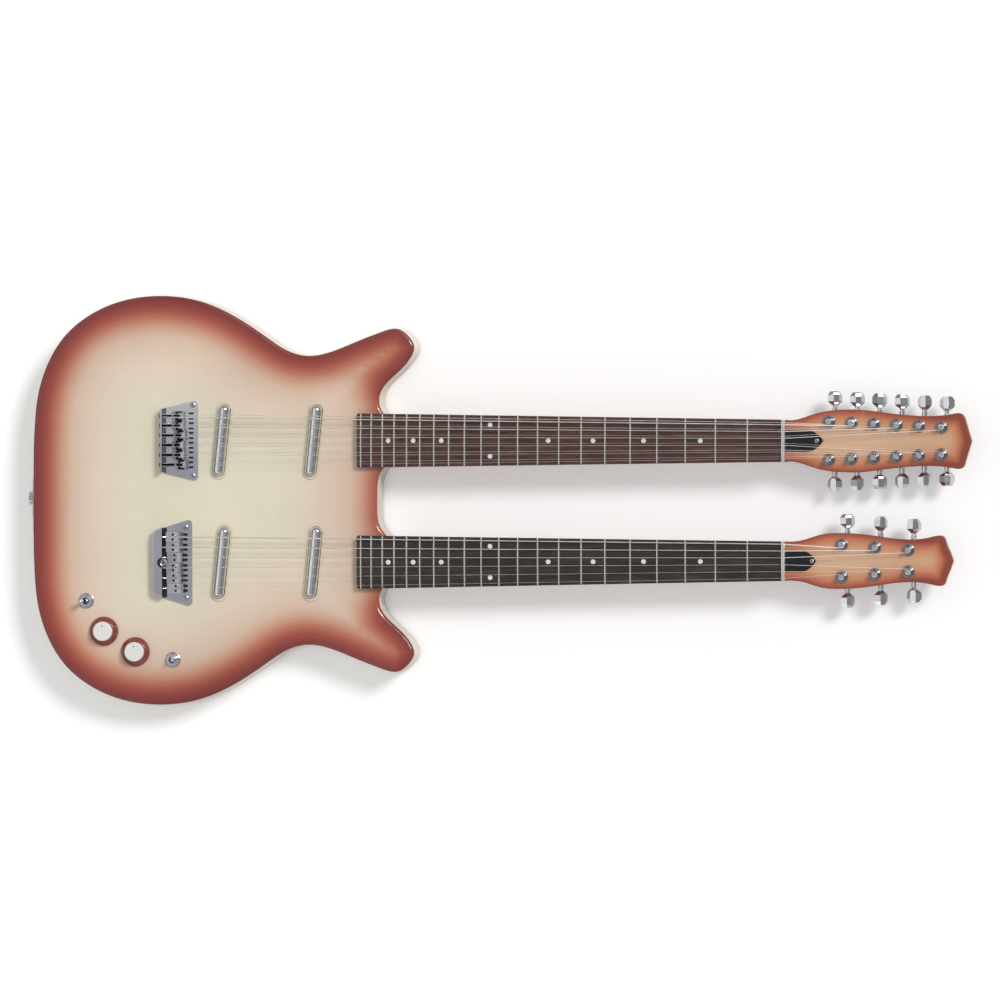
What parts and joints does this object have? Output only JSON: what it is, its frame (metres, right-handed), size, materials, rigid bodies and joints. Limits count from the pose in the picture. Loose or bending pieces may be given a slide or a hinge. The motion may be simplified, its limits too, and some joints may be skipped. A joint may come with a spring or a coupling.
{
  "type": "double-neck guitar",
  "caption": "Double-neck electric guitar with a hollow double-cutaway body, tube pickups, chrome bridges, stacked knobs and geared tuners that turn.",
  "frame": {"origin": "middle of the underside of the whole object's box, on the plane that the back lies on", "axes": "+X along the necks towards the headstocks, +Y from the six-string neck to the twelve-string neck, +Z out of the face"},
  "size_m": [1.0098, 0.4352, 0.0622],
  "materials": {
    "copper_board": "gloss sunburst paint",
    "frame_wood": "bare softwood",
    "side_tape": "pale textured tape",
    "neck_wood": "gloss sunburst paint",
    "rosewood": "oiled rosewood",
    "pearl": "pearl",
    "fret_metal": "bright",
    "string_steel": "plain and wound wire",
    "chrome": "polished",
    "ring_plastic": "pale translucent",
    "black_cover": "gloss black",
    "knob_copper": "gloss copper brown",
    "knob_white": "gloss white"
  },
  "bodies": {
    "guitar": {"body_frame": "frame_wood", "body_top": "copper_board", "body_back": "copper_board", "side_tape": "side_tape", "twelve_neck": "neck_wood", "six_neck": "neck_wood", "fretboards": "rosewood", "fret_markers": "pearl", "frets_and_nuts": "fret_metal", "strings": "string_steel", "bridge_plates": "chrome", "saddles": "chrome", "pickup_tubes": "chrome", "pickup_rings": "ring_plastic", "truss_rods_and_covers": "black_cover", "tuner_casings": "chrome", "controls_and_jack": "chrome", "screws_and_strap_button": "chrome"},
    "twelve_button_1": {"twelve_button_1": "chrome"},
    "twelve_post_1": {"twelve_post_1": "chrome"},
    "twelve_button_2": {"twelve_button_2": "chrome"},
    "twelve_post_2": {"twelve_post_2": "chrome"},
    "twelve_button_3": {"twelve_button_3": "chrome"},
    "twelve_post_3": {"twelve_post_3": "chrome"},
    "twelve_button_4": {"twelve_button_4": "chrome"},
    "twelve_post_4": {"twelve_post_4": "chrome"},
    "twelve_button_5": {"twelve_button_5": "chrome"},
    "twelve_post_5": {"twelve_post_5": "chrome"},
    "twelve_button_6": {"twelve_button_6": "chrome"},
    "twelve_post_6": {"twelve_post_6": "chrome"},
    "twelve_button_7": {"twelve_button_7": "chrome"},
    "twelve_post_7": {"twelve_post_7": "chrome"},
    "twelve_button_8": {"twelve_button_8": "chrome"},
    "twelve_post_8": {"twelve_post_8": "chrome"},
    "twelve_button_9": {"twelve_button_9": "chrome"},
    "twelve_post_9": {"twelve_post_9": "chrome"},
    "twelve_button_10": {"twelve_button_10": "chrome"},
    "twelve_post_10": {"twelve_post_10": "chrome"},
    "twelve_button_11": {"twelve_button_11": "chrome"},
    "twelve_post_11": {"twelve_post_11": "chrome"},
    "twelve_button_12": {"twelve_button_12": "chrome"},
    "twelve_post_12": {"twelve_post_12": "chrome"},
    "six_button_1": {"six_button_1": "chrome"},
    "six_post_1": {"six_post_1": "chrome"},
    "six_button_2": {"six_button_2": "chrome"},
    "six_post_2": {"six_post_2": "chrome"},
    "six_button_3": {"six_button_3": "chrome"},
    "six_post_3": {"six_post_3": "chrome"},
    "six_button_4": {"six_button_4": "chrome"},
    "six_post_4": {"six_post_4": "chrome"},
    "six_button_5": {"six_button_5": "chrome"},
    "six_post_5": {"six_post_5": "chrome"},
    "six_button_6": {"six_button_6": "chrome"},
    "six_post_6": {"six_post_6": "chrome"},
    "knob_skirt_one": {"knob_skirt_one": "knob_copper"},
    "knob_cap_one": {"knob_cap_one": "knob_white"},
    "knob_skirt_two": {"knob_skirt_two": "knob_copper"},
    "knob_cap_two": {"knob_cap_two": "knob_white"},
    "switch_lever_one": {"switch_lever_one": "chrome"},
    "switch_lever_two": {"switch_lever_two": "chrome"}
  },
  "joints": [
    {"name": "twelve_button_1_turn", "type": "hinge", "parent": "guitar", "child": "twelve_button_1", "pos_m": [0.36014, 0.08199, 0.0246], "axis": [0.0021, 1, 0], "continuous": true},
    {"name": "twelve_post_1_turn", "type": "hinge", "parent": "guitar", "child": "twelve_post_1", "pos_m": [0.35554, 0.082, 0.0246], "axis": [0, 0, 1], "continuous": true},
    {"name": "twelve_button_2_turn", "type": "hinge", "parent": "guitar", "child": "twelve_button_2", "pos_m": [0.38369, 0.08084, 0.0246], "axis": [0.0021, 1, 0], "continuous": true},
    {"name": "twelve_post_2_turn", "type": "hinge", "parent": "guitar", "child": "twelve_post_2", "pos_m": [0.37909, 0.08085, 0.0246], "axis": [0, 0, 1], "continuous": true},
    {"name": "twelve_button_3_turn", "type": "hinge", "parent": "guitar", "child": "twelve_button_3", "pos_m": [0.40724, 0.07969, 0.0246], "axis": [0.0021, 1, 0], "continuous": true},
    {"name": "twelve_post_3_turn", "type": "hinge", "parent": "guitar", "child": "twelve_post_3", "pos_m": [0.40264, 0.0797, 0.0246], "axis": [0, 0, 1], "continuous": true},
    {"name": "twelve_button_4_turn", "type": "hinge", "parent": "guitar", "child": "twelve_button_4", "pos_m": [0.43078, 0.07854, 0.0246], "axis": [0.0021, 1, 0], "continuous": true},
    {"name": "twelve_post_4_turn", "type": "hinge", "parent": "guitar", "child": "twelve_post_4", "pos_m": [0.42618, 0.07855, 0.0246], "axis": [0, 0, 1], "continuous": true},
    {"name": "twelve_button_5_turn", "type": "hinge", "parent": "guitar", "child": "twelve_button_5", "pos_m": [0.45433, 0.07739, 0.0246], "axis": [0.0021, 1, 0], "continuous": true},
    {"name": "twelve_post_5_turn", "type": "hinge", "parent": "guitar", "child": "twelve_post_5", "pos_m": [0.44973, 0.0774, 0.0246], "axis": [0, 0, 1], "continuous": true},
    {"name": "twelve_button_6_turn", "type": "hinge", "parent": "guitar", "child": "twelve_button_6", "pos_m": [0.47788, 0.07624, 0.0246], "axis": [0.0021, 1, 0], "continuous": true},
    {"name": "twelve_post_6_turn", "type": "hinge", "parent": "guitar", "child": "twelve_post_6", "pos_m": [0.47328, 0.07625, 0.0246], "axis": [0, 0, 1], "continuous": true},
    {"name": "twelve_button_7_turn", "type": "hinge", "parent": "guitar", "child": "twelve_button_7", "pos_m": [0.36006, 0.04239, 0.0246], "axis": [-0.0021, -1, 0], "continuous": true},
    {"name": "twelve_post_7_turn", "type": "hinge", "parent": "guitar", "child": "twelve_post_7", "pos_m": [0.35546, 0.0424, 0.0246], "axis": [0, 0, 1], "continuous": true},
    {"name": "twelve_button_8_turn", "type": "hinge", "parent": "guitar", "child": "twelve_button_8", "pos_m": [0.38361, 0.04344, 0.0246], "axis": [-0.0021, -1, 0], "continuous": true},
    {"name": "twelve_post_8_turn", "type": "hinge", "parent": "guitar", "child": "twelve_post_8", "pos_m": [0.37901, 0.04345, 0.0246], "axis": [0, 0, 1], "continuous": true},
    {"name": "twelve_button_9_turn", "type": "hinge", "parent": "guitar", "child": "twelve_button_9", "pos_m": [0.40716, 0.04449, 0.0246], "axis": [-0.0021, -1, 0], "continuous": true},
    {"name": "twelve_post_9_turn", "type": "hinge", "parent": "guitar", "child": "twelve_post_9", "pos_m": [0.40256, 0.0445, 0.0246], "axis": [0, 0, 1], "continuous": true},
    {"name": "twelve_button_10_turn", "type": "hinge", "parent": "guitar", "child": "twelve_button_10", "pos_m": [0.43072, 0.04554, 0.0246], "axis": [-0.0021, -1, 0], "continuous": true},
    {"name": "twelve_post_10_turn", "type": "hinge", "parent": "guitar", "child": "twelve_post_10", "pos_m": [0.42612, 0.04555, 0.0246], "axis": [0, 0, 1], "continuous": true},
    {"name": "twelve_button_11_turn", "type": "hinge", "parent": "guitar", "child": "twelve_button_11", "pos_m": [0.45427, 0.04659, 0.0246], "axis": [-0.0021, -1, 0], "continuous": true},
    {"name": "twelve_post_11_turn", "type": "hinge", "parent": "guitar", "child": "twelve_post_11", "pos_m": [0.44967, 0.0466, 0.0246], "axis": [0, 0, 1], "continuous": true},
    {"name": "twelve_button_12_turn", "type": "hinge", "parent": "guitar", "child": "twelve_button_12", "pos_m": [0.47782, 0.04764, 0.0246], "axis": [-0.0021, -1, 0], "continuous": true},
    {"name": "twelve_post_12_turn", "type": "hinge", "parent": "guitar", "child": "twelve_post_12", "pos_m": [0.47322, 0.04765, 0.0246], "axis": [0, 0, 1], "continuous": true},
    {"name": "six_button_1_turn", "type": "hinge", "parent": "guitar", "child": "six_button_1", "pos_m": [0.37334, -0.04684, 0.0246], "axis": [-0.0038, 1, 0], "continuous": true},
    {"name": "six_post_1_turn", "type": "hinge", "parent": "guitar", "child": "six_post_1", "pos_m": [0.36874, -0.04686, 0.0246], "axis": [0, 0, 1], "continuous": true},
    {"name": "six_button_2_turn", "type": "hinge", "parent": "guitar", "child": "six_button_2", "pos_m": [0.40825, -0.04936, 0.0246], "axis": [-0.0038, 1, 0], "continuous": true},
    {"name": "six_post_2_turn", "type": "hinge", "parent": "guitar", "child": "six_post_2", "pos_m": [0.40365, -0.04938, 0.0246], "axis": [0, 0, 1], "continuous": true},
    {"name": "six_button_3_turn", "type": "hinge", "parent": "guitar", "child": "six_button_3", "pos_m": [0.44316, -0.05187, 0.0246], "axis": [-0.0038, 1, 0], "continuous": true},
    {"name": "six_post_3_turn", "type": "hinge", "parent": "guitar", "child": "six_post_3", "pos_m": [0.43856, -0.05189, 0.0246], "axis": [0, 0, 1], "continuous": true},
    {"name": "six_button_4_turn", "type": "hinge", "parent": "guitar", "child": "six_button_4", "pos_m": [0.37346, -0.08024, 0.0246], "axis": [0.0038, -1, 0], "continuous": true},
    {"name": "six_post_4_turn", "type": "hinge", "parent": "guitar", "child": "six_post_4", "pos_m": [0.36886, -0.08026, 0.0246], "axis": [0, 0, 1], "continuous": true},
    {"name": "six_button_5_turn", "type": "hinge", "parent": "guitar", "child": "six_button_5", "pos_m": [0.40835, -0.07746, 0.0246], "axis": [0.0038, -1, 0], "continuous": true},
    {"name": "six_post_5_turn", "type": "hinge", "parent": "guitar", "child": "six_post_5", "pos_m": [0.40375, -0.07748, 0.0246], "axis": [0, 0, 1], "continuous": true},
    {"name": "six_button_6_turn", "type": "hinge", "parent": "guitar", "child": "six_button_6", "pos_m": [0.44324, -0.07467, 0.0246], "axis": [0.0038, -1, 0], "continuous": true},
    {"name": "six_post_6_turn", "type": "hinge", "parent": "guitar", "child": "six_post_6", "pos_m": [0.43864, -0.07469, 0.0246], "axis": [0, 0, 1], "continuous": true},
    {"name": "knob_skirt_one_turn", "type": "hinge", "parent": "guitar", "child": "knob_skirt_one", "pos_m": [-0.4181, -0.1394, 0.046], "axis": [0, 0, 1], "range_deg": [-150, 150]},
    {"name": "knob_cap_one_turn", "type": "hinge", "parent": "guitar", "child": "knob_cap_one", "pos_m": [-0.4181, -0.1394, 0.046], "axis": [0, 0, 1], "range_deg": [-150, 150]},
    {"name": "knob_skirt_two_turn", "type": "hinge", "parent": "guitar", "child": "knob_skirt_two", "pos_m": [-0.3839, -0.1611, 0.046], "axis": [0, 0, 1], "range_deg": [-150, 150]},
    {"name": "knob_cap_two_turn", "type": "hinge", "parent": "guitar", "child": "knob_cap_two", "pos_m": [-0.3839, -0.1611, 0.046], "axis": [0, 0, 1], "range_deg": [-150, 150]},
    {"name": "switch_lever_one_tilt", "type": "hinge", "parent": "guitar", "child": "switch_lever_one", "pos_m": [-0.4376, -0.1071, 0.046], "axis": [-0.1736, 0.9848, 0], "range_deg": [0, 30]},
    {"name": "switch_lever_two_tilt", "type": "hinge", "parent": "guitar", "child": "switch_lever_two", "pos_m": [-0.3436, -0.1696, 0.046], "axis": [0.5878, -0.809, 0], "range_deg": [0, 30]}
  ],
  "couplings": [
    {"joint": "twelve_post_1_turn", "follows": "twelve_button_1_turn", "ratio": 0.071429},
    {"joint": "twelve_post_2_turn", "follows": "twelve_button_2_turn", "ratio": 0.071429},
    {"joint": "twelve_post_3_turn", "follows": "twelve_button_3_turn", "ratio": 0.071429},
    {"joint": "twelve_post_4_turn", "follows": "twelve_button_4_turn", "ratio": 0.071429},
    {"joint": "twelve_post_5_turn", "follows": "twelve_button_5_turn", "ratio": 0.071429},
    {"joint": "twelve_post_6_turn", "follows": "twelve_button_6_turn", "ratio": 0.071429},
    {"joint": "twelve_post_7_turn", "follows": "twelve_button_7_turn", "ratio": 0.071429},
    {"joint": "twelve_post_8_turn", "follows": "twelve_button_8_turn", "ratio": 0.071429},
    {"joint": "twelve_post_9_turn", "follows": "twelve_button_9_turn", "ratio": 0.071429},
    {"joint": "twelve_post_10_turn", "follows": "twelve_button_10_turn", "ratio": 0.071429},
    {"joint": "twelve_post_11_turn", "follows": "twelve_button_11_turn", "ratio": 0.071429},
    {"joint": "twelve_post_12_turn", "follows": "twelve_button_12_turn", "ratio": 0.071429},
    {"joint": "six_post_1_turn", "follows": "six_button_1_turn", "ratio": 0.071429},
    {"joint": "six_post_2_turn", "follows": "six_button_2_turn", "ratio": 0.071429},
    {"joint": "six_post_3_turn", "follows": "six_button_3_turn", "ratio": 0.071429},
    {"joint": "six_post_4_turn", "follows": "six_button_4_turn", "ratio": 0.071429},
    {"joint": "six_post_5_turn", "follows": "six_button_5_turn", "ratio": 0.071429},
    {"joint": "six_post_6_turn", "follows": "six_button_6_turn", "ratio": 0.071429}
  ]
}
